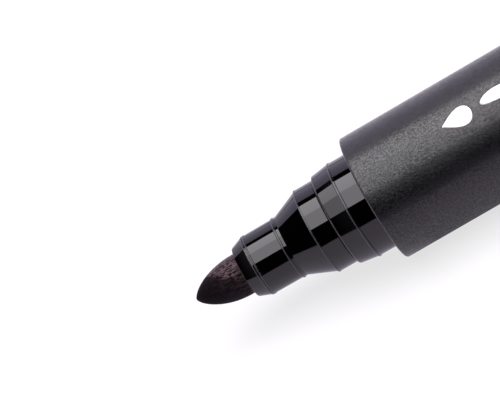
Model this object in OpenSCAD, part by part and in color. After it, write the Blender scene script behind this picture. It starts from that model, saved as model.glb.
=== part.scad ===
// Brush pen with a firm fibre nib, lying on its side with the cap pushed onto its tail.
// The pen's axis runs along X, the nib points to -X, and the table is the plane Z = 0.
// It rests on the barrel and on one edge of the clip.
// Along the pen, a station is a distance from the nib's point.

/* [Nib] */
// Radius of the fibre nib
nib_r = 2.63; // [2.2:0.01:2.7]
// Length of nib that shows in front of the nose
nib_show = 6.7; // [6.2:0.05:8]
// Length of the rounded writing point
point_len = 6.15; // [4:0.05:6.15]
// Bluntness of the writing point, lower is blunter
point_power = 0.68; // [0.5:0.01:0.8]
// Whole length of the nib
nib_len = 44; // [42:0.5:50]

/* [Nose] */
// Radius of the nose at its front edge
nose_r = 3.25; // [3:0.01:3.5]
// Length of the nose's front bevel
nose_bevel = 1.6; // [1:0.05:2.5]
// Radius of the sealing land that the cap's liner closes on
land_r = 3.89; // [3.7:0.01:3.9]
// Length of the sealing land
land_len = 4.15; // [3:0.05:5]
// Radius of the bead behind the land
bead_r = 3.98; // [3.92:0.01:4]
// Width of the bead and the flat behind it
bead_w = 0.55; // [0.3:0.05:0.8]
// Length of the cone behind the bead
cone_len = 3.55; // [2.5:0.05:4.5]
// Radius of the neck behind the cone
neck_r = 5.46; // [5.2:0.01:5.6]
// Length of the neck
neck_len = 2.45; // [1:0.05:3]

/* [Collar] */
// Radius of the collar's front edge
collar_front_r = 5.86; // [5.7:0.01:5.9]
// Length of the collar's tapered part
collar_taper_len = 2.45; // [2:0.05:4]
// Radius of the part that the cap slides on, at both ends of the pen
seat_r = 6.19; // [6.15:0.01:6.22]
// Radius of the fine ring on the seat
ring_r = 6.28; // [6.24:0.01:6.32]
// Length of the seat between the taper and the barrel
seat_len = 2.7; // [1.5:0.05:4]

/* [Barrel] */
// Outer radius of the barrel
barrel_r = 8; // [7.8:0.05:8.5]
// Length of the barrel
barrel_len = 86.6; // [80:0.05:110]
// Wall of the barrel
barrel_wall = 1.25; // [1.1:0.05:1.3]
// Rounding of the barrel's mouth
mouth_round = 0.4; // [0.3:0.05:1]

/* [End plug] */
// Thickness of the plug's rim, which shows between barrel and cap
rim_t = 1.2; // [0.8:0.1:2]
// Length of the post that the cap is pushed onto
post_len = 9.5; // [7:0.5:9.5]

/* [Cap] */
// Length of the cap
cap_len = 40; // [38:0.5:46]
// Outer radius of the cap at its closed end
cap_end_r = 7.7; // [7.5:0.05:8]
// Thickness of the cap's end disc
top_t = 1.5; // [1:0.1:2]

/* [Clip] */
// Width of the clip
clip_w = 4.6; // [3.5:0.1:6]
// Height of the clip's outer face above the pen's axis
clip_top = 10.8; // [10.6:0.1:12]
// Thickness of the clip
clip_t = 1.25; // [1:0.05:1.5]
// Rounding of the clip's outer edges
clip_edge = 0.5; // [0.2:0.1:0.8]

/* [Hidden] */
$fn = 96;

fit = 0.03; // gap on the radius where one piece is pressed or glued into another
slide_fit = 0.06; // gap on the radius between the cap's bore and the seat or post
gap = 0.05; // gap between faces that meet end to end
edge = 0.12; // small bevel on moulded edges
groove = 0.08; // depth of the fine groove round the nose

// stations, front to back
nose_z = nib_show;
land_z = nose_z + nose_bevel;
bead_z = land_z + land_len;
cone_z = bead_z + bead_w;
neck_z = cone_z + cone_len;
collar_z = neck_z + neck_len;
ring_z = collar_z + collar_taper_len;
mouth_z = ring_z + seat_len;
barrel_end_z = mouth_z + barrel_len;
cap_z = barrel_end_z + rim_t;
pen_end_z = cap_z + cap_len;

// inside the front
nib_bore_r = nib_r + fit;
spigot_r = 4.9;
spigot_len = 8;
seat_in = 0.8; // how far the seat runs into the barrel before the sleeve widens
sleeve_len = 11;
sleeve_r = barrel_r - barrel_wall - fit;
sleeve_end_z = mouth_z + seat_in + sleeve_len;
sleeve_bore_r = 5.6;
vent_w = 0.6;
vent_depth = 0.5; // beyond the nib
vent_under = 0.3; // how far a vent's cutter reaches in under the nib's surface
vents = 4;
front_round = 0.3; // the collar's front edge

// inside the barrel
bore_r = barrel_r - barrel_wall;
film_t = 0.12;
rib_h = 0.3;
rib_w = 0.8;
ribs = 6;
film_r = bore_r - rib_h - fit;
reservoir_r = film_r - film_t - fit;
reservoir_z = sleeve_end_z + gap;
fin_len = 3;
plug_stem_len = 8;
plug_z = barrel_end_z - plug_stem_len;
reservoir_end_z = plug_z - fin_len - gap;
tail_r = 1.1; // the nib's tail end
tail_len = 8; // its tapered length, which starts inside the reservoir
fin_r = 2; // the fins start this far from the axis
fin_w = 1;
fins = 4;
post_wall = 1.3;
lead_len = 0.8; // the post's tapered lead-in
lead_in = 0.5;

// inside the cap, measured from its mouth
seat_depth = post_len + 0.6; // leaves the post room at its end
cap_bore_r = seat_r + slide_fit;
cap_inner_r = 5.95; // beyond the seat
stub_len = 1.2; // also the end wall's thickness
cap_wall_end = cap_len - top_t - stub_len;
top_r = cap_end_r - 1.1; // the recess that the end disc fills
end_round = 0.6; // the cap's closed end
liner_in = 11; // from the cap's mouth to the liner's
liner_len = 16;
liner_bore_r = 4;
liner_r = 4.9;
flange_len = 1.4;
flange_in = 1; // from the liner's mouth to its first flange
liner_end_t = 1;
liner_lead = 0.5; // bevel inside the liner's mouth
stub_r = 2; // of the end disc's stub, in the hole in the cap's end wall
stop_ribs = 6; // they hold the liner off the end wall
stop_rib_h = 1.1;

// clip, measured from the cap's mouth
clip_tip = 4.4;
clip_root = cap_len - 5.6;
clip_end = cap_len - 1.4;
clip_inner = clip_top - clip_t;
clip_bump = 8.3; // how close the clip's tip comes to the axis
hem = 7; // the clip starts inside the cap's wall, this far from the axis
clip_bend = 2.2; // outer bend above the root
clip_tip_round = 1;
bump_r = 0.6;
bump_at = clip_tip + 1.4; // middle of the bump
ramp_end = clip_tip + 4.4; // where the clip's inner face levels off
root_round = 0.8;

// the clip's outer corner touches the table, and the whole pen is centred over the origin
corner = norm([clip_top - clip_edge, clip_w / 2 - clip_edge]);
corner_turn = atan2(clip_w / 2 - clip_edge, clip_top - clip_edge);
clip_roll = asin((barrel_r - clip_edge) / corner) - corner_turn; // below the horizontal
clip_reach = corner * cos(clip_roll - corner_turn) + clip_edge;
shift_x = -pen_end_z / 2;
shift_y = (clip_reach - barrel_r) / 2;

// Points of a circular arc about c, from one angle to another
function arc(c, r, from, to, steps = 8) =
    [for (i = [0:steps]) c + r * [cos(from + (to - from) * i / steps), sin(from + (to - from) * i / steps)]];

// Radius of the writing point at a distance back from its tip
function point_r(s) = nib_r * pow(1 - pow(1 - s / point_len, 2), point_power);

module on_axis() {
    translate([shift_x, shift_y, barrel_r]) rotate([0, 90, 0]) children();
}

// A turned piece: points are [radius, station]
module turned(points) {
    on_axis() rotate_extrude() polygon(points);
}

module tube(r_out, r_in, from, to) {
    turned([[r_in, from], [r_out, from], [r_out, to], [r_in, to]]);
}

// Straight bars round the axis, from radius r0 to r1, for ribs, fins and vents
module bars(count, r0, r1, width, from, to) {
    on_axis() for (i = [0:count - 1])
        rotate([0, 0, 360 / count * i]) translate([r0, -width / 2, from])
            cube([r1 - r0, width, to - from]);
}

module nib() {
    steps = 20;
    tip = [for (i = [1:steps]) let (s = point_len * pow(i / steps, 1.6)) [point_r(s), s]];
    color("#2a1f26")
    turned(concat([[0, 0]], tip, [[nib_r, nib_len - tail_len], [tail_r, nib_len], [0, nib_len]]));
}

module nib_holder() {
    color("#0c0b0e") difference() {
        turned([
            [nib_bore_r, nose_z], [nose_r - edge, nose_z], [nose_r, nose_z + edge],
            [land_r, land_z], [land_r, land_z + edge], [land_r - groove, land_z + 2 * edge],
            [land_r, land_z + 3 * edge], [land_r, bead_z],
            [bead_r, bead_z + edge], [bead_r, cone_z],
            [neck_r, neck_z], [neck_r, collar_z - gap],
            [spigot_r, collar_z - gap], [spigot_r, collar_z + spigot_len],
            [nib_bore_r, collar_z + spigot_len]
        ]);
        bars(vents, nib_r - vent_under, nib_r + vent_depth, vent_w, nose_z + 1, collar_z + spigot_len + 1);
    }
}

module section_collar() {
    color("#0d0c0f") turned(concat(
        [[spigot_r + fit, collar_z]],
        arc([collar_front_r - front_round, collar_z + front_round], front_round, -90, 0, 5),
        [
            [seat_r, ring_z], [ring_r, ring_z + edge], [ring_r, ring_z + 2 * edge],
            [seat_r, ring_z + 3 * edge], [seat_r, mouth_z + seat_in],
            [sleeve_r, mouth_z + seat_in + edge], [sleeve_r, sleeve_end_z], [sleeve_bore_r, sleeve_end_z],
            [sleeve_bore_r, collar_z + spigot_len], [spigot_r + fit, collar_z + spigot_len]
        ]
    ));
}

module barrel() {
    tail_round = 0.3;
    color("#39383c") {
        turned(concat(
            [[bore_r, mouth_z]],
            arc([barrel_r - mouth_round, mouth_z + mouth_round], mouth_round, -90, 0),
            arc([barrel_r - tail_round, barrel_end_z - tail_round], tail_round, 0, 90, 4),
            [[bore_r, barrel_end_z]]
        ));
        bars(ribs, bore_r - rib_h, bore_r + rib_h, rib_w, reservoir_z + 1, reservoir_end_z - 1);
    }
}

module ink_reservoir() {
    hole_z = nib_len + gap;
    hole_r = nib_r + fit;
    color("#241c2e") turned([
        [0, hole_z], [tail_r + fit, hole_z], [hole_r, nib_len - tail_len + gap],
        [hole_r, reservoir_z], [reservoir_r, reservoir_z],
        [reservoir_r, reservoir_end_z], [0, reservoir_end_z]
    ]);
}

module reservoir_film() {
    color("#b9bcc4", 0.4) tube(film_r, film_r - film_t, reservoir_z, reservoir_end_z);
}

module end_plug() {
    post_end = cap_z + post_len;
    inner_r = seat_r - post_wall;
    color("#0d0c0f") {
        turned([
            [inner_r, plug_z], [sleeve_r - edge, plug_z], [sleeve_r, plug_z + edge],
            [sleeve_r, barrel_end_z + gap], [barrel_r - 2 * edge, barrel_end_z + gap],
            [barrel_r, barrel_end_z + 2 * edge], [barrel_r, cap_z - 2 * edge],
            [barrel_r - 2 * edge, cap_z - gap], [seat_r, cap_z - gap],
            [seat_r, post_end - lead_len], [seat_r - lead_in, post_end],
            [0, post_end], [0, post_end - post_wall], [inner_r, post_end - post_wall]
        ]);
        bars(fins, fin_r, inner_r + fin_w / 2, fin_w, plug_z - fin_len, plug_z + 2);
    }
}

// The clip's outline in the plane of the pen's axis: [height above the axis, station]
function clip_side() = concat(
    [[hem, clip_end]],
    arc([clip_top - clip_bend, clip_end - clip_bend], clip_bend, 90, 0),
    arc([clip_top - clip_tip_round, clip_tip + clip_tip_round], clip_tip_round, 0, -90),
    arc([clip_bump + bump_r, bump_at], bump_r, -140, -220, 4),
    [[clip_inner, ramp_end]],
    arc([clip_inner - root_round, clip_root - root_round], root_round, 0, 90, 4),
    [[hem, clip_root]]
);

module clip() {
    half = clip_w / 2;
    intersection() {
        rotate([90, 0, 0]) linear_extrude(clip_w + 1, center = true) polygon(clip_side());
        linear_extrude(cap_len) polygon(concat(
            [[hem, half], [hem, -half]],
            arc([clip_top - clip_edge, -half + clip_edge], clip_edge, -90, 0, 4),
            arc([clip_top - clip_edge, half - clip_edge], clip_edge, 0, 90, 4)
        ));
        translate([hem, 0, 0]) rotate([0, 90, 0]) linear_extrude(clip_top) union() {
            translate([-cap_len, -half]) square([cap_len - clip_tip - half, clip_w]);
            translate([-clip_tip - half, 0]) circle(half);
        }
    }
}

module cap_shell() {
    mouth_round = 0.3;
    recess_z = cap_len - top_t - gap;
    color("#39383c") difference() {
        union() {
            on_axis() translate([0, 0, cap_z]) rotate_extrude() polygon(concat(
                [[0, 0]],
                arc([barrel_r - mouth_round, mouth_round], mouth_round, -90, 0, 4),
                arc([cap_end_r - end_round, cap_len - end_round], end_round, 0, 90, 6),
                [[0, cap_len]]
            ));
            on_axis() translate([0, 0, cap_z]) rotate([0, 0, clip_roll - 90]) clip();
        }
        tube(cap_bore_r, 0, cap_z - 1, cap_z + seat_depth);
        difference() {
            tube(cap_inner_r, 0, cap_z + seat_depth - 1, cap_z + cap_wall_end);
            bars(stop_ribs, cap_inner_r - stop_rib_h, cap_inner_r + 1, rib_w,
                cap_z + liner_in + liner_len + gap, cap_z + cap_wall_end + 1);
        }
        tube(stub_r + fit, 0, cap_z + cap_wall_end - 1, cap_z + cap_len + 1);
        tube(top_r, 0, cap_z + recess_z, cap_z + cap_len + 1);
    }
}

module cap_liner() {
    mouth = cap_z + liner_in;
    end = mouth + liner_len;
    flange_z = mouth + flange_in;
    color("#c9c7c0") turned([
        [0, end], [0, end - liner_end_t], [liner_bore_r, end - liner_end_t],
        [liner_bore_r, mouth + liner_lead], [liner_bore_r + liner_lead / 2, mouth], [liner_r, mouth],
        [liner_r, flange_z], [cap_inner_r - fit, flange_z], [cap_inner_r - fit, flange_z + flange_len],
        [liner_r, flange_z + flange_len], [liner_r, end - flange_len],
        [cap_inner_r - fit, end - flange_len], [cap_inner_r - fit, end]
    ]);
}

module cap_top() {
    r = top_r - fit;
    end = cap_z + cap_len;
    color("#0d0c0f") turned([
        [0, end - top_t - stub_len], [stub_r, end - top_t - stub_len], [stub_r, end - top_t],
        [r, end - top_t], [r, end - edge], [r - edge, end], [0, end]
    ]);
}

nib();
nib_holder();
section_collar();
barrel();
ink_reservoir();
reservoir_film();
end_plug();
cap_shell();
cap_liner();
cap_top();
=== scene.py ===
from math import asin, atan2, cos, hypot, pi, radians, sin, tan

import bpy
import numpy as np
from mathutils import Matrix, Vector


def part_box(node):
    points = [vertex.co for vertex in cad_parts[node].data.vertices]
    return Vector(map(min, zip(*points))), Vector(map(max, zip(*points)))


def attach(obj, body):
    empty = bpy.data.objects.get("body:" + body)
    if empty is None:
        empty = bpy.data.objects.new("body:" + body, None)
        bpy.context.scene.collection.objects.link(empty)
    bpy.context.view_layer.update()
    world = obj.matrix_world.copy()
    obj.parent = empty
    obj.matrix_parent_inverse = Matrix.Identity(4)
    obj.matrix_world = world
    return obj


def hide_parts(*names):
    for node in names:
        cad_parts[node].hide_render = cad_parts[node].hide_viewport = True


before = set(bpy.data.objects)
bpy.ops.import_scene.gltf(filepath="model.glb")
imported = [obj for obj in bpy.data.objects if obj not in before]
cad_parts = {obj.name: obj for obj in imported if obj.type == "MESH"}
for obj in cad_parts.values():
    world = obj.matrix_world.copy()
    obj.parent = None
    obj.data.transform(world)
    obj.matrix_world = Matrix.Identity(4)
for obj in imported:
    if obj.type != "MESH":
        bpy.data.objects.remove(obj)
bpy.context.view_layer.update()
print("frame loaded:", len(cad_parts), "nodes")

mm = 0.001
fit, gap = 0.03, 0.05  # how far apart pressed pieces are drawn, and pieces that only meet, in mm
nibLow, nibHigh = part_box("nib")
barrelLow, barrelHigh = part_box("barrel")
capLow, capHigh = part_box("cap_shell")
# The pen's axis lies along X. Sizes below are in mm, and a station is a distance back from the nib's point.
pen = {
    "tip": nibLow.x / mm,
    "y": (nibLow.y + nibHigh.y) / 2 / mm,
    "z": (nibLow.z + nibHigh.z) / 2 / mm,
    "nibRadius": (nibHigh.z - nibLow.z) / 2 / mm,
    "barrelRadius": (barrelHigh.z - barrelLow.z) / 2 / mm,
    "barrelFrom": (barrelLow.x - nibLow.x) / mm,
    "barrelTo": (barrelHigh.x - nibLow.x) / mm,
    "capFrom": (capLow.x - nibLow.x) / mm,
    "capTo": (capHigh.x - nibLow.x) / mm,
}


def onPen(station, radius, angle):  # angle is 0 straight up and grows towards the clip's side
    x = pen["tip"] + station + 0 * angle
    y = pen["y"] - radius * np.sin(angle)
    z = pen["z"] + radius * np.cos(angle)
    return np.stack(np.broadcast_arrays(x, y, z), -1)


def rounded(corners, closed=True, steps=6, support=0.03):
    # Each corner is (station, radius, rounding). A corner becomes an arc that touches both of its
    # sides, with one more point just outside each end of the arc to keep the flat sides flat.
    corner = np.array(corners, float)
    place, rounding = corner[:, :2], corner[:, 2:3]
    before, after = np.roll(place, 1, 0) - place, np.roll(place, -1, 0) - place
    before /= np.linalg.norm(before, axis=1, keepdims=True)
    after /= np.linalg.norm(after, axis=1, keepdims=True)
    half = np.arccos(np.clip((before * after).sum(1, keepdims=True), -1, 1)) / 2
    reach = rounding / np.tan(half)
    middle = before + after
    middle /= np.linalg.norm(middle, axis=1, keepdims=True)
    centre = place + middle * rounding / np.sin(half)
    fromArm, toArm = place + before * reach - centre, place + after * reach - centre
    sweep = pi - 2 * half
    u = np.linspace(0, 1, steps + 1)[None, :, None]
    arc = (np.sin((1 - u) * sweep[:, None]) * fromArm[:, None] + np.sin(u * sweep[:, None]) * toArm[:, None])
    arc = centre[:, None] + arc / np.sin(sweep)[:, None]
    extra = np.minimum(support, rounding)
    lead, trail = arc[:, :1] + (before * extra)[:, None], arc[:, -1:] + (after * extra)[:, None]
    path = np.concatenate([lead, arc, trail], 1)
    if closed:
        return path.reshape(-1, 2)
    return np.concatenate([place[:1], path[1:-1].reshape(-1, 2), place[-1:]])


def gridMesh(name, points, closedRows, closedColumns, poles=(False, False)):
    # points is a grid of rows and columns; a closed direction joins its last line to its first, and
    # a pole joins a whole first or last row to one point.
    rows, columns = points.shape[:2]
    index = np.arange(rows * columns).reshape(rows, columns)
    if closedRows:
        index = np.concatenate([index, index[:1]])
    if closedColumns:
        index = np.concatenate([index, index[:, :1]], 1)
    quads = np.stack([index[:-1, :-1], index[1:, :-1], index[1:, 1:], index[:-1, 1:]], -1).reshape(-1, 4)
    spots, faces = points.reshape(-1, 3), quads.tolist()
    for pole, row, flip in zip(poles, (index[0], index[-1]), (1, -1)):
        if pole:
            hub = np.full(len(row) - 1, len(spots))
            spots = np.concatenate([spots, points[0 if flip == 1 else -1].mean(0, keepdims=True)])
            faces += np.stack([hub, row[:-1], row[1:]], -1)[:, ::flip].tolist()
    mesh = bpy.data.meshes.new(name)
    mesh.from_pydata((spots * mm).tolist(), [], faces)
    if signedVolume(mesh) < 0:
        mesh.flip_normals()
    mesh.shade_smooth()
    piece = bpy.data.objects.new(name, mesh)
    bpy.context.scene.collection.objects.link(piece)
    return piece


def paintCrest(piece, stations, width=0.1):
    # The attribute is 1 on a line round the pen at each station, and falls to 0 at a width from it:
    # flatness (1 - distance / width), kept between 0 and 1. It marks where a highlight is painted.
    flatness = 1.4
    spots = np.zeros(len(piece.data.vertices) * 3)
    piece.data.vertices.foreach_get("co", spots)
    station = spots[::3] / mm - pen["tip"]
    away = np.abs(station[:, None] - np.array(stations)[None, :]).min(1)
    crest = np.clip(flatness * (1 - away / width), 0, 1).astype(np.float32)
    piece.data.attributes.new("crest", "FLOAT", "POINT").data.foreach_set("value", crest)
    return piece


def falling(value, low, high):  # 1 below low, 0 above high, straight in between
    return np.clip((high - value) / (high - low), 0, 1)


def signedVolume(mesh):  # a sixth of the sum of each triangle's triple product
    mesh.calc_loop_triangles()
    spots = np.zeros(len(mesh.vertices) * 3)
    mesh.vertices.foreach_get("co", spots)
    corners = np.zeros(len(mesh.loop_triangles) * 3, int)
    mesh.loop_triangles.foreach_get("vertices", corners)
    a, b, c = spots.reshape(-1, 3)[corners].reshape(-1, 3, 3).transpose(1, 0, 2)
    return (a * np.cross(b, c)).sum() / 6


def turned(name, outline, around=256, solid=False):
    # The outline, as stations and radii, carried round the pen's axis. A solid piece's outline starts
    # and ends on the axis, and a hollow one's outline is a loop.
    angle = np.linspace(0, 2 * pi, around, endpoint=False)[None, :]
    if solid:
        ends, outline = outline[[0, -1], 0], outline[1:-1]
    piece = gridMesh(name, onPen(outline[:, :1], outline[:, 1:], angle), not solid, True, (solid, solid))
    if solid:
        poles = piece.data.vertices
        poles[len(poles) - 2].co = (onPen(ends[0], 0, 0.0) * mm).tolist()
        poles[len(poles) - 1].co = (onPen(ends[1], 0, 0.0) * mm).tolist()
    return piece


def unevenGrid(seed, shape, across, along):
    # Smooth noise on a grid that closes round the pen: random heights on a coarse grid of along by
    # across cells, blended between cells by 3t^2 - 2t^3.
    heights = np.random.default_rng(seed).uniform(-1, 1, (along + 1, across))
    row = np.linspace(0, along, shape[0], endpoint=False)[:, None]
    column = np.linspace(0, across, shape[1], endpoint=False)[None, :]
    i, j = row.astype(int), column.astype(int)
    s, t = row - i, column - j
    s, t = s * s * (3 - 2 * s), t * t * (3 - 2 * t)
    near = heights[i, j] * (1 - t) + heights[i, (j + 1) % across] * t
    far = heights[i + 1, j] * (1 - t) + heights[i + 1, (j + 1) % across] * t
    return near * (1 - s) + far * s


class Socket:  # wraps a node's output, so that shader maths is written as Python
    def __init__(self, tree, link):
        self.tree, self.link = tree, link

    def math(self, kind, *others):
        return addNode(self.tree, "ShaderNodeMath", {"operation": kind}, dict(enumerate((self, *others))))

    def __add__(self, other):
        return self.math("ADD", other)

    def __sub__(self, other):
        return self.math("SUBTRACT", other)

    def __rsub__(self, other):
        return (self * -1) + other

    def __mul__(self, other):
        return self.math("MULTIPLY", other)


def addNode(tree, kind, settings, inputs, output=0):
    node = tree.nodes.new(kind)
    for key, value in settings.items():
        setattr(node, key, value)
    for key, value in inputs.items():
        if isinstance(value, Socket):
            tree.links.new(value.link, node.inputs[key])
        else:
            node.inputs[key].default_value = value
    return Socket(tree, node.outputs[output])


def startMaterial(name, fixed):
    # A plastic or fibre surface: what stays the same all over goes straight onto the shader's sockets
    made = bpy.data.materials.new(name)
    made.use_nodes = True
    tree = made.node_tree
    shader = tree.nodes["Principled BSDF"]
    for key, value in fixed.items():
        shader.inputs[key].default_value = value
    place = addNode(tree, "ShaderNodeTexCoord", {}, {}, "Object")
    return made, tree, shader, place


def grain(tree, place, size, detail=2.0, roughness=0.5):  # noise of a given grain in mm, 0 to 1
    inputs = {"Vector": place, "Scale": 1 / (size * mm), "Detail": detail, "Roughness": roughness}
    return addNode(tree, "ShaderNodeTexNoise", {}, inputs)


def ranged(value, low, high, toLow, toHigh):  # moves low..high to toLow..toHigh, and stops at both ends
    inputs = {"Value": value, "From Min": low, "From Max": high, "To Min": toLow, "To Max": toHigh}
    return addNode(value.tree, "ShaderNodeMapRange", {}, inputs)


def mixColour(tree, factor, first, second):
    first, second = (c if isinstance(c, Socket) else (*c, 1) for c in (first, second))
    return addNode(tree, "ShaderNodeMix", {"data_type": "RGBA"}, {"Factor": factor, 6: first, 7: second}, 2)


def emboss(tree, shader, height, depth):  # bump of a given depth in mm
    bump = addNode(tree, "ShaderNodeBump", {}, {"Height": height, "Distance": depth * mm, "Strength": 1.0})
    tree.links.new(bump.link, shader.inputs["Normal"])


def use(piece, made):
    piece.data.materials.clear()
    piece.data.materials.append(made)


plasticIndex = 1.5  # how strongly the plastics bend light
# Sizes and depths of the grain are in mm. The worn colour is a painted highlight, a lighter colour
# on the fine raised lines where they catch the light; their rougher finish is wear.
blackPlastic = {"colour": (0.0003, 0.0003, 0.0004), "wornHighlight": (0.038, 0.036, 0.040),
                "tint": (0.98, 0.93, 1.0, 1), "roughness": 0.03, "smudge": 0.02, "smudgeSize": 2.2,
                "wornRoughness": 0.3, "wave": 0.001, "waveSize": 1.6}


def glossBlack():
    p = blackPlastic
    made, tree, shader, place = startMaterial("glossBlack", {"IOR": plasticIndex, "Specular Tint": p["tint"]})
    crest, smudge = wornHighlightEdge(tree, place), grain(tree, place, p["smudgeSize"], 3.0)
    # Painted highlight: the fine raised lines are mixed to a lighter colour
    tree.links.new(mixColour(tree, crest, p["colour"], p["wornHighlight"]).link, shader.inputs["Base Color"])
    smudged = ranged(smudge, 0.35, 0.75, p["roughness"], p["roughness"] + p["smudge"])
    tree.links.new((smudged + crest * p["wornRoughness"]).link, shader.inputs["Roughness"])
    emboss(tree, shader, grain(tree, place, p["waveSize"], 1.0), p["wave"])
    return made


def wornHighlightEdge(tree, place):
    # The piece's own attribute, which is 1 along its fine raised lines, a little broken up by noise. It
    # places a painted highlight there, and in the gloss plastic also a rougher finish as wear.
    crest = addNode(tree, "ShaderNodeAttribute", {"attribute_name": "crest"}, {}, 2)
    return crest * ranged(grain(tree, place, 0.5, 2.0), 0.3, 0.6, 0.85, 1.0)


# Three sizes of grain, and tiny smooth spots: speck is their size, and spots how much coat they have
mattePlastic = {"dark": (0.0003, 0.0003, 0.0004), "light": (0.0030, 0.0029, 0.0032),
                "wornHighlight": (0.03, 0.029, 0.031), "tint": (0.97, 0.92, 1.0, 1), "shine": 0.4,
                "roughness": 0.19, "unevenness": 0.05, "grain": 0.14, "coarse": 0.36, "broad": 3.5,
                "speck": 0.2, "spots": 0.5, "spotRoughness": 0.2, "depth": 0.06, "coarseDepth": 0.012}


def charcoal():
    m = mattePlastic
    made, tree, shader, place = startMaterial("charcoal", {
        "IOR": plasticIndex, "Specular IOR Level": m["shine"], "Specular Tint": m["tint"],
        "Coat Roughness": m["spotRoughness"]})
    fine, coarse = grain(tree, place, m["grain"], 2.0, 0.6), grain(tree, place, m["coarse"], 2.0, 0.6)
    broad = grain(tree, place, m["broad"], 2.0)
    blotch = ranged(fine * 0.5 + coarse * 0.3 + broad * 0.2, 0.38, 0.62, 0, 1)
    colour = mixColour(tree, blotch, m["dark"], m["light"])
    # Painted highlight: the fine line at the barrel's mouth is mixed to a lighter colour
    colour = mixColour(tree, wornHighlightEdge(tree, place), colour, m["wornHighlight"])
    tree.links.new(colour.link, shader.inputs["Base Color"])
    smoothest, roughest = m["roughness"] - m["unevenness"], m["roughness"] + m["unevenness"]
    rough = ranged(coarse * 0.6 + fine * 0.4, 0.35, 0.65, smoothest, roughest)
    tree.links.new(rough.link, shader.inputs["Roughness"])
    speck = grain(tree, place, m["speck"], 1.0)
    tree.links.new(ranged(speck, 0.4, 0.6, 0, m["spots"]).link, shader.inputs["Coat Weight"])
    emboss(tree, shader, fine * m["depth"] + coarse * m["coarseDepth"], 1.0)
    return made


# The threads are fine noise, drawn out along the nib. A larger scale makes them thinner, and a smaller
# stretch makes them longer.
# Dark colour: the inked fibre as painted shade on the underside; light colour: painted light on the lit side,
# which is smoother
bondedFibre = {"inkedInShade": (0.0012, 0.0005, 0.0009), "paintedLit": (0.082, 0.053, 0.061), "roughness": 0.8,
               "litSmoother": 0.45, "threadSmoother": 0.1, "threadScale": 9500.0, "threadStretch": 0.22,
               "threadDepth": 0.04, "index": 1.45, "shine": 0.08, "tint": (1.0, 0.72, 0.82, 1),
               "fuzz": 0.06, "fuzzRoughness": 0.4, "fuzzTint": (0.75, 0.68, 0.9, 1)}


def inkedFibre():
    f = bondedFibre
    made, tree, shader, place = startMaterial("inkedFibre", {
        "IOR": f["index"], "Specular IOR Level": f["shine"], "Specular Tint": f["tint"],
        "Sheen Weight": f["fuzz"], "Sheen Roughness": f["fuzzRoughness"], "Sheen Tint": f["fuzzTint"]})
    strand = addNode(tree, "ShaderNodeAttribute", {"attribute_name": "strand"}, {}, 2)
    long = addNode(tree, "ShaderNodeMapping", {}, {"Vector": place, "Scale": (f["threadStretch"], 1, 1)})
    inputs = {"Vector": long, "Scale": f["threadScale"], "Detail": 1.0}
    thread = addNode(tree, "ShaderNodeTexNoise", {}, inputs)
    # 1 on the side painted as lit, and little on the underside painted as shade
    paintedLitSide = addNode(tree, "ShaderNodeAttribute", {"attribute_name": "paintedLitSide"}, {}, 2)
    streak = ranged(strand * 0.9 + thread * 0.5, 0.3, 1.05, 0, 1) * paintedLitSide
    colour = mixColour(tree, streak, f["inkedInShade"], f["paintedLit"])
    tree.links.new(colour.link, shader.inputs["Base Color"])
    rough = f["roughness"] - paintedLitSide * f["litSmoother"] - thread * f["threadSmoother"]
    tree.links.new(rough.link, shader.inputs["Roughness"])
    emboss(tree, shader, thread, f["threadDepth"])
    return made


def plainPlastic(name, colour, roughness):
    made, tree, shader, place = startMaterial(name, {"IOR": plasticIndex})
    fine = grain(tree, place, 0.3, 3.0)
    darker = tuple(c * 0.85 for c in colour)
    tree.links.new(mixColour(tree, fine, darker, colour).link, shader.inputs["Base Color"])
    rough = ranged(fine, 0.3, 0.7, roughness - 0.05, roughness + 0.05)
    tree.links.new(rough.link, shader.inputs["Roughness"])
    emboss(tree, shader, fine, 0.004)
    return made


def clearFilm():
    made, tree, shader, place = startMaterial("clearFilm", {"Alpha": 0.35, "IOR": 1.45})
    streak = grain(tree, place, 1.5)
    tree.links.new(ranged(streak, 0.3, 0.7, 0.05, 0.2).link, shader.inputs["Roughness"])
    colour = mixColour(tree, streak, (0.7, 0.7, 0.74), (0.8, 0.8, 0.84))
    tree.links.new(colour.link, shader.inputs["Base Color"])
    return made


gloss, matte, fibre = glossBlack(), charcoal(), inkedFibre()
linerMilk = plainPlastic("linerMilk", (0.55, 0.54, 0.5), 0.4)
printWhite = plainPlastic("printWhite", (0.80, 0.79, 0.80), 0.45)
inkRod = plainPlastic("inkRod", (0.05, 0.035, 0.07), 0.8)
film = clearFilm()
print("materials made")

# The strands are ridges of noise, with strands cells of it round the point and strandCells along it. They
# are flatter at the point's two ends. The underside, away from the softbox, is painted dark as shade:
# paintedShadeSide is its middle and paintedShadeHalf how far it goes each way beside the nose, in radians.
nib = {"pointLength": 6.15, "bluntness": 0.68, "length": 44.0, "tailLength": 8.0, "tailRadius": 1.1,
       "tailRounding": 0.1, "shows": 6.7, "lean": 0.12, "least": 0.02,
       "rows": 170, "around": 560, "firstRow": 0.012, "crowding": 1.35,
       "seed": 3, "strands": 210, "strandCells": 26, "strandHeight": 0.008, "crisp": 2.4,
       "fadeIn": 1.2, "fadeOut": 0.6, "flatter": 0.25,
       "paintedShadeSide": 2.3, "paintedShadeHalf": 1.53, "paintedShadeSpread": 0.08, "paintedShadeFront": 0.4, "paintedShadeEdge": 0.14,
       "paintedShadeRagged": 0.12, "litInShadeLeast": 0.02, "litInShadeMost": 0.26}


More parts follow.
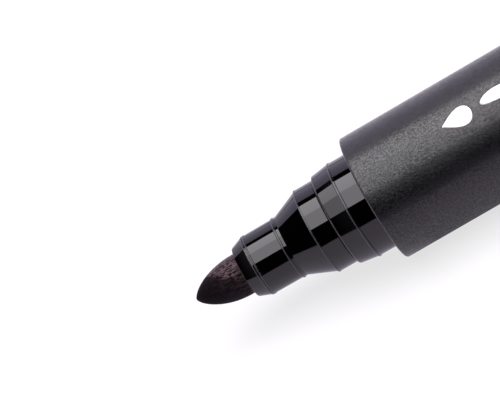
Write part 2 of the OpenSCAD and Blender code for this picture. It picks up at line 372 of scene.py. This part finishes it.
def makeNib():
    # Radius of the point: R (1 - (1 - s / L)^2)^bluntness, on rows that crowd towards its front end
    rows, around = nib["rows"], nib["around"]
    point = nib["pointLength"] * np.linspace(nib["firstRow"], 1, rows) ** nib["crowding"]
    shaft = np.array([nib["shows"] + 0.5, nib["length"] - nib["tailLength"]])
    radius = pen["nibRadius"] * (1 - (1 - point / nib["pointLength"]) ** 2) ** nib["bluntness"]
    angle = np.linspace(0, 2 * pi, around, endpoint=False)[None, :]
    ridge = unevenGrid(nib["seed"], (rows, around), nib["strands"], nib["strandCells"])
    ridge = np.tanh(nib["crisp"] * ridge)
    fadeIn = np.clip(point / nib["fadeIn"], 0, 1)
    fadeOut = np.clip((nib["pointLength"] + nib["fadeOut"] / 2 - point) / nib["fadeOut"], 0, 1)
    fade = nib["flatter"] + (1 - nib["flatter"]) * (fadeIn * fadeOut)[:, None]
    height = nib["strandHeight"] * (ridge - 1) * fade
    top = onPen(point[:, None], np.maximum(radius[:, None] + height, nib["least"]), angle)
    top[..., 2] += nib["lean"] * (1 - point[:, None] / nib["pointLength"]) ** 2
    straight = onPen(shaft[:, None], np.full((2, 1), pen["nibRadius"]), angle)
    tailStations = np.array([[nib["length"] - nib["tailRounding"]], [nib["length"]]])
    tail = onPen(tailStations, nib["tailRadius"] - np.array([[0], [nib["tailRounding"]]]), angle)
    piece = gridMesh("nib_fibre", np.concatenate([top, straight, tail]), False, True, (True, True))
    strand = np.full(len(piece.data.vertices), 0.5, np.float32)
    strand[: rows * around] = (0.5 + 0.5 * ridge).ravel()
    piece.data.attributes.new("strand", "FLOAT", "POINT").data.foreach_set("value", strand)
    # Painted shade: the underside, away from the softbox, is painted dark, and the dark wraps right round
    # towards the point; the rest is painted a lighter, lit colour. The shade reaches paintedShadeHalf +
    # paintedShadeSpread d^2 each way, with d counted forwards from paintedShadeFront in front of the nose.
    # What painted light there is in it fades out towards the point, as the square of the distance from the
    # point.
    reach = nib["paintedShadeHalf"] + nib["paintedShadeSpread"] * (nib["shows"] - nib["paintedShadeFront"] - point[:, None]) ** 2
    away = np.abs((angle - nib["paintedShadeSide"] + pi) % (2 * pi) - pi) + nib["paintedShadeRagged"] * ridge
    paintedLit = 1 - falling(away, reach - nib["paintedShadeEdge"], reach + nib["paintedShadeEdge"])
    # How much painted light is left on the shaded side: less towards the point
    litInShade = nib["litInShadeLeast"] + nib["litInShadeMost"] * (point[:, None] / nib["shows"]) ** 2
    paintedLitSide = np.ones(len(piece.data.vertices), np.float32)
    paintedLitSide[: rows * around] = (litInShade + (1 - litInShade) * paintedLit).ravel()
    piece.data.attributes.new("paintedLitSide", "FLOAT", "POINT").data.foreach_set("value", paintedLitSide)
    return piece


# A fine line is a list of corners: a step along from its station, a step out from the radius, a rounding
nose = {"front": 6.7, "frontRadius": 3.25, "land": 8.35, "landRadius": 3.89, "bead": 12.45, "cone": 13.0,
        "beadRadius": 3.98, "neck": 16.55, "neckRadius": 5.46, "back": 18.95, "spigotRadius": 4.9,
        "spigotEnd": 27.0,
        "landLines": [(-0.14, -0.05, 0.03), (-0.12, 0.02, 0.05), (0, 0.02, 0.03), (0.02, -0.02, 0.02),
                      (0.14, -0.02, 0.02), (0.15, 0.04, 0.08), (0.3, 0.04, 0.03), (0.36, -0.02, 0.03)],
        "beadLine": [(-0.05, 0.03, 0.08), (0.16, 0.03, 0.04), (0.22, -0.05, 0.03)],
        "neckLine": [(-0.16, -0.1, 0.03), (-0.15, 0.03, 0.05), (0, 0.03, 0.03), (0.05, 0, 0.03)]}
bore = pen["nibRadius"] + fit


def fineLine(station, radius, steps):
    return [(station + along, radius + out, rounding) for along, out, rounding in steps]


def makeNose():
    n = nose
    land, bead, neck = n["landRadius"], n["beadRadius"], n["neckRadius"]
    outline = rounded([
        (n["front"], bore + 0.05, 0.04), (n["front"], n["frontRadius"], 0.1),
        *fineLine(n["land"], land, n["landLines"]),
        (n["bead"] - 0.06, land, 0.03),
        *fineLine(n["bead"], bead, n["beadLine"]),
        (n["cone"], bead - 0.05, 0.06),
        *fineLine(n["neck"], neck, n["neckLine"]),
        (n["back"], neck, 0.08), (n["back"], n["spigotRadius"], 0.05),
        (n["spigotEnd"], n["spigotRadius"], 0.2), (n["spigotEnd"], bore, 0.05),
    ])
    # The fine lines where the highlight is painted
    lines = [n["land"] - 0.09, n["land"] + 0.2, n["bead"], n["neck"] - 0.1]
    return paintCrest(turned("nose", outline), lines)


collar = {"front": 19.0, "frontRadius": 5.84, "frontRounding": 0.3, "ring": 21.45, "seatRadius": 6.19,
          "sleeveFrom": 24.95, "sleeveTo": 35.95, "sleeveRadius": 6.72, "boreRadius": 5.6,
          "ringLine": [(-0.06, -0.01, 0.02), (-0.05, 0.09, 0.08), (0.2, 0.09, 0.04), (0.26, 0, 0.03)]}


def makeCollar():
    c = collar
    spigotHole = nose["spigotRadius"] + fit
    outline = rounded([
        (c["front"], spigotHole, 0.03), (c["front"], c["frontRadius"], c["frontRounding"]),
        *fineLine(c["ring"], c["seatRadius"], c["ringLine"]),
        (c["sleeveFrom"], c["seatRadius"], 0.05), (c["sleeveFrom"] + 0.1, c["sleeveRadius"], 0.05),
        (c["sleeveTo"], c["sleeveRadius"], 0.2), (c["sleeveTo"], c["boreRadius"], 0.1),
        (nose["spigotEnd"], c["boreRadius"], 0.1), (nose["spigotEnd"], spigotHole, 0.1),
    ])
    # Its front edge and ring line get a painted highlight
    return paintCrest(turned("section_ring", outline), [c["front"] + 0.13, c["ring"]])


barrel = {"mouthRounding": 0.28, "wall": 1.25, "tailRounding": 0.3, "lip": 0.12}


def makeBarrel():
    a, b, r = pen["barrelFrom"], pen["barrelTo"], pen["barrelRadius"]
    outline = rounded([
        (a, r - barrel["wall"], barrel["lip"]), (a, r, barrel["mouthRounding"]),
        (b, r, barrel["tailRounding"]), (b, r - barrel["wall"], 0.1),
    ], steps=12)
    # The mouth's edge gets a painted highlight line
    return paintCrest(turned("barrel_tube", outline, 384), [a + 0.1], 0.11)


# A generic printed mark: an ink drop and a brush stroke behind it
mark = {"from": 35.9, "drop": 3.9, "dropWidth": 0.86, "angle": 27.0, "stroke": 9.0, "strokeWidth": 1.5,
        "wave": 0.35, "gap": 1.3, "raised": 0.012, "sunk": 0.02}


def wrapped(name, along, across):  # a thin patch on the barrel, closed below its surface
    station, angle = mark["from"] + along, radians(mark["angle"]) + across / pen["barrelRadius"]
    levels = (pen["barrelRadius"] + mark["raised"], pen["barrelRadius"] - mark["sunk"])
    above, below = (onPen(station, level, angle) for level in levels)
    return gridMesh(name, np.concatenate([above, below[::-1]]), False, True, (True, True))


def makeDrop():
    # A circle, flattened, and narrowed to a point towards its front end by sin(t / 2)^1.3
    rings, around = 14, 96
    t = np.linspace(0, 2 * pi, around, endpoint=False)[None, :]
    scale = np.linspace(0.04, 1, rings)[:, None]
    size = mark["drop"] / 2
    along = size * (1 - scale * np.cos(t))
    across = scale * size * mark["dropWidth"] * np.sin(t) * np.sin(t / 2) ** 1.3
    return wrapped("print_drop", along, across)


def makeStroke():
    # A thin ellipse, wider at its start, whose middle line is a sine wave
    rings, around = 14, 160
    t = np.linspace(0, 2 * pi, around, endpoint=False)[None, :]
    scale = np.linspace(0.02, 1, rings)[:, None]
    half = mark["stroke"] / 2
    u = scale * np.cos(t)
    along = mark["drop"] + mark["gap"] + half * (1 + u)
    across = scale * mark["strokeWidth"] / 2 * np.sin(t) * (1 - 0.45 * u) + mark["wave"] * np.sin(u * 2.6)
    return wrapped("print_stroke", along, across)


plug = {"rim": 1.2, "inset": 0.02, "postRadius": 6.19, "postLength": 9.5, "leadIn": 0.75, "leadDrop": 0.5,
        "stem": 8.0, "stemRadius": 6.72, "wall": 1.3}


def makePlug():
    rim = pen["capFrom"]
    back, front = rim - plug["rim"] + gap, rim - plug["rim"] - plug["stem"]
    end, post = rim + plug["postLength"], plug["postRadius"]
    inner, outer = post - plug["wall"], pen["barrelRadius"] - plug["inset"]
    outline = rounded([
        (end - plug["wall"], 0, 0), (end - plug["wall"], inner, 0.3), (front, inner, 0.1),
        (front, plug["stemRadius"], 0.2), (back, plug["stemRadius"], 0.05), (back, outer, 0.2),
        (rim - gap, outer, 0.2), (rim - gap, post, 0.08),
        (end - plug["leadIn"], post, 0.3), (end, post - plug["leadDrop"], 0.25), (end, 0, 0),
    ], closed=False)
    return turned("end_plug_post", outline, solid=True)


cap = {"endRadius": 7.7, "boreRadius": 6.25, "seatDepth": 10.1, "innerRadius": 5.95, "wallEnd": 37.3,
       "topThickness": 1.5, "topRadius": 6.57, "topInset": 0.02, "topRim": 1.0, "topDish": 0.28,
       "stubRadius": 2.0, "stub": 1.2}


def makeCapShell():
    a, b, r = pen["capFrom"], pen["capTo"], pen["barrelRadius"]
    recess, wallEnd, seatEnd = b - cap["topThickness"] - gap, a + cap["wallEnd"], a + cap["seatDepth"]
    outline = rounded([
        (a, cap["boreRadius"] + 0.1, 0.15), (a, r, 0.35), (b, cap["endRadius"], 0.7),
        (b, cap["topRadius"] + 0.08, 0.12), (recess, cap["topRadius"] + fit, 0.05),
        (recess, cap["stubRadius"] + fit, 0.1), (wallEnd, cap["stubRadius"] + fit, 0.1),
        (wallEnd, cap["innerRadius"], 0.3), (seatEnd, cap["innerRadius"], 0.05),
        (seatEnd, cap["boreRadius"], 0.05),
    ], steps=8)
    return turned("cap_tube", outline, 320)


def makeCapTop():
    b = pen["capTo"]
    front, radius = b - cap["topThickness"], cap["topRadius"]
    outline = rounded([
        (front - cap["stub"], 0, 0), (front - cap["stub"], cap["stubRadius"], 0.2),
        (front, cap["stubRadius"], 0.1), (front, radius, 0.1), (b - cap["topInset"], radius, 0.25),
        (b - 0.12, radius - cap["topRim"], 0.3), (b - cap["topDish"], 0, 0),
    ], closed=False)
    return turned("cap_end_disc", outline, solid=True)


liner = {"from": 11.0, "length": 16.0, "boreRadius": 4.0, "radius": 4.9, "lip": 1.0, "flange": 1.4,
         "leadIn": 0.5, "leadWidth": 0.3, "floor": 1.0}


def makeLiner():
    a = pen["capFrom"] + liner["from"]
    b, out, radius, flange = a + liner["length"], cap["innerRadius"] - fit, liner["radius"], liner["flange"]
    ledge, floor, hollow = a + liner["lip"], b - liner["floor"], liner["boreRadius"]
    outline = rounded([
        (b, 0, 0), (b, out, 0.2), (b - flange, out, 0.2), (b - flange, radius, 0.2),
        (ledge + flange, radius, 0.2), (ledge + flange, out, 0.2), (ledge, out, 0.2),
        (ledge, radius, 0.2), (a, radius, 0.2), (a, hollow + liner["leadWidth"], 0.15),
        (a + liner["leadIn"], hollow, 0.3), (floor, hollow, 0.8), (floor, 0, 0),
    ], closed=False)
    return turned("inner_cap", outline, 192, solid=True)


clip = {"width": 4.6, "top": 10.8, "thick": 1.25, "edge": 0.5, "innerEdge": 0.3, "tip": 4.4, "root": 34.4,
        "end": 38.6, "bump": 8.3, "hem": 7.0, "bend": 2.2, "innerBend": 0.8, "tipBend": 1.0, "tipFlat": 0.1,
        "bumpFrom": 0.8, "bumpSize": 0.6, "ramp": 4.4}
halfFlat = clip["width"] / 2 - clip["edge"]
corner, turn = hypot(clip["top"] - clip["edge"], halfFlat), atan2(halfFlat, clip["top"] - clip["edge"])
clipAngle = pi / 2 + asin((pen["barrelRadius"] - clip["edge"]) / corner) - turn  # its edge is on the table


def evenly(points, count):  # the same line with its points spread evenly along it
    step = np.linalg.norm(np.diff(points, axis=0), axis=1)
    gone = np.concatenate([[0], np.cumsum(step)])
    wanted = np.linspace(0, gone[-1], count)
    return np.stack([np.interp(wanted, gone, points[:, 0]), np.interp(wanted, gone, points[:, 1])], 1)


def bow(centre, radius, fromDegrees, toDegrees):
    t = np.radians(np.linspace(fromDegrees, toDegrees, 15))
    return np.array(centre) + radius * np.stack([np.cos(t), np.sin(t)], 1)


def makeClip():
    # Two lines in the plane of the pen's axis, the clip's outside and its inside, from its free tip to
    # its root in the cap's wall. Cross-sections with rounded edges join them.
    c = clip
    inner, halfWidth = c["top"] - c["thick"], c["width"] / 2
    tipBend, bend, innerBend = c["tipBend"], c["bend"], c["innerBend"]
    tipLine = [[c["tip"], c["top"] - tipBend - c["tipFlat"]]]
    tipCentre, endCentre = (c["tip"] + tipBend, c["top"] - tipBend), (c["end"] - bend, c["top"] - bend)
    outside = [np.concatenate([tipLine, bow(tipCentre, tipBend, 180, 90)]),
               np.array([[c["tip"] + tipBend, c["top"]], [c["end"] - bend, c["top"]]]),
               np.concatenate([bow(endCentre, bend, 90, 0), [[c["end"], c["hem"]]]])]
    ball = (c["tip"] + c["bumpFrom"] + c["bumpSize"], c["bump"] + c["bumpSize"])
    rootCentre = (c["root"] - innerBend, inner - innerBend)
    inside = [np.concatenate([tipLine, bow(ball, c["bumpSize"], 200, 300), [[c["tip"] + c["ramp"], inner]]]),
              np.array([[c["tip"] + c["ramp"], inner], [c["root"] - innerBend, inner]]),
              np.concatenate([bow(rootCentre, innerBend, 90, 0), [[c["root"], c["hem"]]]])]
    outside, inside = (np.concatenate([evenly(part, count)[1:] for part, count in zip(line, (30, 40, 26))])
                       for line in (outside, inside))
    section = rounded([(0, -halfWidth, c["innerEdge"]), (c["thick"], -halfWidth, c["edge"]),
                       (c["thick"], halfWidth, c["edge"]), (0, halfWidth, c["innerEdge"])])
    # A section point keeps its distance from the nearer line, less where the clip is thinner than elsewhere
    thickness = np.linalg.norm(outside - inside, axis=1)[:, None]
    shrink = np.minimum(1, thickness / c["thick"])
    fromInside = section[:, 0] * shrink / thickness
    fromOutside = 1 - (c["thick"] - section[:, 0]) * shrink / thickness
    share = np.where(section[:, 0] > c["thick"] / 2, fromOutside, fromInside)
    flat = inside[:, None] * (1 - share[..., None]) + outside[:, None] * share[..., None]
    # The free end is round in plan: half width times sqrt(b (2 - b)), with b the distance back in half widths
    back = np.clip((flat[..., 0].mean(1, keepdims=True) - c["tip"]) / halfWidth, 0.05, 1)
    side = section[:, 1] * np.sqrt(back * (2 - back))
    points = onPen(pen["capFrom"] + flat[..., 0], flat[..., 1], clipAngle)
    points[..., 1] -= side * cos(clipAngle)
    points[..., 2] = np.maximum(points[..., 2] - side * sin(clipAngle), 0)  # its lower edge lies on the table
    return gridMesh("cap_clip", points, False, True, (True, True))


print("making the pieces")
pieces = [
    (makeNib(), "pen", "nib_fibre", fibre, ["nib"]),
    (makeNose(), "pen", "gloss_black", gloss, ["nib_holder"]),
    (makeCollar(), "pen", "gloss_black", gloss, ["section_collar"]),
    (makeBarrel(), "pen", "barrel_plastic", matte, ["barrel"]),
    (makeDrop(), "pen", "print_white", printWhite, []),
    (makeStroke(), "pen", "print_white", printWhite, []),
    (makePlug(), "pen", "gloss_black", gloss, ["end_plug"]),
    (makeCapShell(), "cap", "barrel_plastic", matte, ["cap_shell"]),
    (makeClip(), "cap", "barrel_plastic", matte, []),
    (makeCapTop(), "cap", "gloss_black", gloss, ["cap_top"]),
    (makeLiner(), "liner", "liner_plastic", linerMilk, ["cap_liner"]),
]
for piece, body, slot, made, nodes in pieces:
    use(piece, made)
    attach(piece, body)
    if nodes:
        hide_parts(*nodes)
use(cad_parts["ink_reservoir"], inkRod)
use(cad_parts["reservoir_film"], film)
print("pieces made:", len(pieces))

# The softboxes hang flat above the pen, which sees them between two angles up from the camera's side. The
# strip hangs a little lower and adds light to their far half. Sizes and places are in metres here, the
# angles are in degrees, and light is a lamp's radiance.
studio = {"boxHeight": 0.5, "boxFrom": 49.5, "boxTo": 119.5, "stripFrom": 88.0, "stripDrop": 0.003,
          "boxLeft": -0.20, "boxRight": 0.55, "dimLeft": -0.36, "boxLight": 3.1, "stripLight": 1.2,
          "dimLight": 1.7}
cards = {
    "backCard": {"centre": (0.1, 0.55, 0.308), "facing": (0.1, 0, 0.308), "width": 1.6, "height": 0.556,
                 "radiance": 0.9, "colour": (0.83, 0.80, 1.0)},
    "nibCard": {"centre": (-0.75, 0, 0.135), "facing": (0, 0, 0.135), "width": 0.5, "height": 0.26,
                "radiance": 1.6, "colour": (0.93, 0.9, 1.0)},
    "capCard": {"centre": (0.8, 0, 0.135), "facing": (0, 0, 0.135), "width": 0.5, "height": 0.26,
                "radiance": 1.3, "colour": (1, 1, 1)},
}


def areaLight(name, centre, facing, width, height, radiance, colour=(1, 1, 1)):
    data = bpy.data.lights.new(name, "AREA")
    data.shape, data.size, data.size_y = "RECTANGLE", width, height
    data.energy, data.color = radiance * width * height * 4, colour  # power that gives about that radiance
    lamp = bpy.data.objects.new(name, data)
    bpy.context.scene.collection.objects.link(lamp)
    lamp.location = centre
    lamp.rotation_euler = (Vector(facing) - Vector(centre)).to_track_quat("-Z", "Y").to_euler()
    lamp.visible_camera = False


def overhead(name, left, right, fromDegrees, toDegrees, radiance, drop=0.0):
    h = studio["boxHeight"]
    near, far = -h / tan(radians(fromDegrees)), -h / tan(radians(toDegrees))
    x, y, z = (left + right) / 2, (near + far) / 2 + pen["y"] * mm, h + pen["z"] * mm - drop
    areaLight(name, (x, y, z), (x, y, 0), right - left, far - near, radiance)


def makeLights():
    s = studio
    overhead("softbox", s["boxLeft"], s["boxRight"], s["boxFrom"], s["boxTo"], s["boxLight"])
    overhead("softboxStrip", s["dimLeft"], s["boxRight"], s["stripFrom"], s["boxTo"], s["stripLight"],
             s["stripDrop"])
    overhead("softboxEdge", s["dimLeft"], s["boxLeft"], s["boxFrom"], s["boxTo"], s["dimLight"])
    for name, card in cards.items():
        areaLight(name, **card)


# The paper glows less for what the pen mirrors than for the camera, and more for the camera far from the
# lamps, so that it stays white. The barrel lies on it, so a strip of it is in the barrel's shade: the shade
# ends between two distances beside the pen's axis and begins at the barrel's mouth, all in mm. The reach and
# the two far distances are in metres.
paper = {"reach": 3.0, "colour": (0.20, 0.188, 0.203), "seen": (0.73, 0.73, 0.73), "far": (1, 1, 1),
         "farFrom": 0.1, "farTo": 0.5, "mirrored": (0.58, 0.54, 0.64), "shade": 0.85,
         "shadeFrom": 3.0, "shadeTo": 12.0, "beforeMouth": 2.0, "pastMouth": 4.0}


def tablePaper():
    made, tree, shader, place = startMaterial("tablePaper", {
        "Base Color": (*paper["colour"], 1), "Roughness": 0.9, "Specular IOR Level": 0.0,
        "Emission Strength": 1.0})
    direct = addNode(tree, "ShaderNodeLightPath", {}, {})
    along = addNode(tree, "ShaderNodeSeparateXYZ", {}, {"Vector": place}, 0)
    across = addNode(tree, "ShaderNodeSeparateXYZ", {}, {"Vector": place}, 1)
    beside = (across - pen["y"] * mm).math("ABSOLUTE")
    mouth = (pen["tip"] + pen["barrelFrom"]) * mm
    shade = ranged(beside, paper["shadeFrom"] * mm, paper["shadeTo"] * mm, paper["shade"], 0)
    shade = shade * ranged(along, mouth - paper["beforeMouth"] * mm, mouth + paper["pastMouth"] * mm, 0, 1)
    mirrored = mixColour(tree, shade, paper["mirrored"], (0, 0, 0))
    away = addNode(tree, "ShaderNodeVectorMath", {"operation": "LENGTH"}, {0: place}, "Value")
    seen = mixColour(tree, ranged(away, paper["farFrom"], paper["farTo"], 0, 1), paper["seen"], paper["far"])
    tree.links.new(mixColour(tree, direct, mirrored, seen).link, shader.inputs["Emission Color"])
    return made


def makeTable():
    mesh, r = bpy.data.meshes.new("table"), paper["reach"]
    mesh.from_pydata([(-r, -r, 0), (r, -r, 0), (r, r, 0), (-r, r, 0)], [], [(0, 1, 2, 3)])
    table = bpy.data.objects.new("table", mesh)
    bpy.context.scene.collection.objects.link(table)
    use(table, tablePaper())


def makeBackdrop():  # white for the camera, and no light on the pen
    world = bpy.data.worlds.new("studio")
    bpy.context.scene.world = world
    world.use_nodes = True
    background = world.node_tree.nodes["Background"]
    direct = addNode(world.node_tree, "ShaderNodeLightPath", {}, {})
    world.node_tree.links.new(direct.link, background.inputs["Strength"])
    background.inputs["Color"].default_value = (1, 1, 1, 1)
    bpy.context.scene.view_settings.view_transform = "Standard"


# Angles are in degrees and the distance in mm. tipRight and tipUp say where the nib's point is in the
# frame, in frame widths from its middle.
shot = {"azimuth": 10.4, "elevation": 39.0, "rise": 30.2, "lens": 279.0, "sensor": 36.0, "distance": 457.0,
        "tipRight": -0.1056, "tipUp": -0.1807}


def makeCamera():
    a, e = radians(shot["azimuth"]), radians(shot["elevation"])
    back = Vector((sin(a) * cos(e), -cos(a) * cos(e), sin(e)))
    right, up = Vector((cos(a), sin(a), 0)), Vector((-sin(a) * sin(e), cos(a) * sin(e), cos(e)))
    roll = radians(shot["rise"]) - atan2(up.x, right.x)  # the pen rises to the right in the picture
    right, up = right * cos(roll) - up * sin(roll), up * cos(roll) + right * sin(roll)
    data = bpy.data.cameras.new("camera")
    data.lens, data.sensor_width = shot["lens"], shot["sensor"]
    data.clip_start = 0.01
    eye = bpy.data.objects.new("camera", data)
    bpy.context.scene.collection.objects.link(eye)
    frameWidth = shot["sensor"] / shot["lens"] * shot["distance"] * mm
    tip = Vector((pen["tip"], pen["y"], pen["z"])) * mm
    place = tip + back * shot["distance"] * mm
    place -= (right * shot["tipRight"] + up * shot["tipUp"]) * frameWidth
    eye.matrix_world = Matrix.Translation(place) @ Matrix((right, up, back)).transposed().to_4x4()
    bpy.context.scene.camera = eye


makeLights()
makeTable()
makeBackdrop()
makeCamera()
print("studio made")
